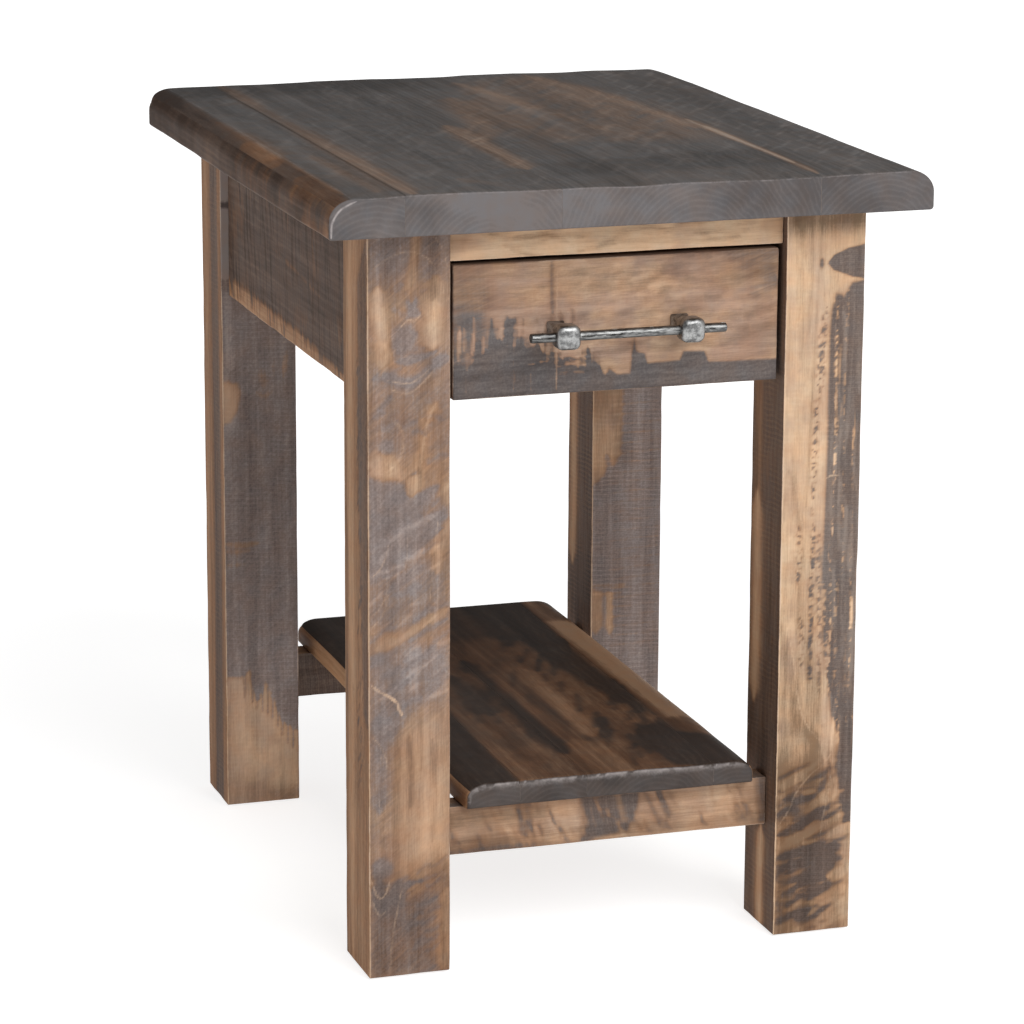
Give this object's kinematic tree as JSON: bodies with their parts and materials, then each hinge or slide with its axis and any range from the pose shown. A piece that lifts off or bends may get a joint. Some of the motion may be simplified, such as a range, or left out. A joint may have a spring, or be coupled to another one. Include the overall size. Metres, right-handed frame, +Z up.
{
  "type": "side table with drawer",
  "caption": "Solid wood side table with square legs, an overhanging top, a drawer on full-extension slides with a bar pull, and a low open shelf.",
  "frame": {"origin": "on the floor, under the middle of the table top", "axes": "+Z up; -Y is the front, where the drawer opens; +X is to the right of someone facing the drawer"},
  "size_m": [0.49, 0.604, 0.634],
  "materials": {
    "top_wood": "semi-gloss charcoal brown stain on brown maple, worn to brown at the edges",
    "shelf_wood": "semi-gloss dark brown stain on brown maple",
    "leg_wood": "matt two-tone tan and grey stain on rough-sawn brown maple",
    "apron_wood": "matt dark brown stain on rough-sawn brown maple",
    "rail_wood": "matt tan stain on brown maple",
    "drawer_face_wood": "matt tan and grey stain on brown maple",
    "inner_wood": "plain unstained hardwood",
    "drawer_box_wood": "clear satin lacquer on soft maple",
    "drawer_bottom_plywood": "clear satin lacquer on birch plywood",
    "pull_post_pewter": "hammered antique pewter",
    "pull_bar_iron": "dark brushed antique iron with a bright worn side",
    "slide_steel": "bright zinc plate",
    "ball_steel": "polished balls in a dull retainer",
    "screw_steel": "yellow zinc plate",
    "glide_nylon": "off-white nylon"
  },
  "bodies": {
    "table_frame": {"apron_left": "apron_wood", "apron_rear": "apron_wood", "apron_right": "apron_wood", "cleat_screws": "screw_steel", "foot_glides": "glide_nylon", "leg_front_left": "leg_wood", "leg_front_right": "leg_wood", "leg_rear_left": "leg_wood", "leg_rear_right": "leg_wood", "rail_front_top": "rail_wood", "shelf_board_1": "shelf_wood", "shelf_board_2": "shelf_wood", "shelf_board_3": "shelf_wood", "shelf_board_4": "shelf_wood", "shelf_screws": "screw_steel", "slide_cabinet_member_left": "slide_steel", "slide_cabinet_member_right": "slide_steel", "slide_cabinet_screws": "screw_steel", "slide_spacer_left": "inner_wood", "slide_spacer_right": "inner_wood", "spacer_screws": "screw_steel", "stretcher_front": "rail_wood", "stretcher_rear": "rail_wood", "top_board_1": "top_wood", "top_board_2": "top_wood", "top_board_3": "top_wood", "top_board_4": "top_wood", "top_cleat_left": "inner_wood", "top_cleat_right": "inner_wood", "top_screws": "screw_steel"},
    "drawer": {"drawer_bottom": "drawer_bottom_plywood", "drawer_box_back": "drawer_box_wood", "drawer_box_front": "drawer_box_wood", "drawer_face": "drawer_face_wood", "drawer_face_screws": "screw_steel", "drawer_side_left": "drawer_box_wood", "drawer_side_right": "drawer_box_wood", "pull_bar": "pull_bar_iron", "pull_post_left": "pull_post_pewter", "pull_post_right": "pull_post_pewter", "pull_screws": "screw_steel", "slide_drawer_member_left": "slide_steel", "slide_drawer_member_right": "slide_steel", "slide_drawer_screws": "screw_steel"},
    "slide_middle_left": {"slide_ball_rows_left": "ball_steel", "slide_middle_member_left": "slide_steel"},
    "slide_middle_right": {"slide_ball_rows_right": "ball_steel", "slide_middle_member_right": "slide_steel"}
  },
  "joints": [
    {"name": "drawer_slide", "type": "slide", "parent": "table_frame", "child": "drawer", "axis": [0, -1, 0], "range_m": [0, 0.44]},
    {"name": "middle_slide_left", "type": "slide", "parent": "table_frame", "child": "slide_middle_left", "axis": [0, -1, 0], "range_m": [0, 0.22]},
    {"name": "middle_slide_right", "type": "slide", "parent": "table_frame", "child": "slide_middle_right", "axis": [0, -1, 0], "range_m": [0, 0.22]}
  ],
  "couplings": [
    {"joint": "middle_slide_left", "follows": "drawer_slide", "ratio": 0.5},
    {"joint": "middle_slide_right", "follows": "drawer_slide", "ratio": 0.5}
  ]
}
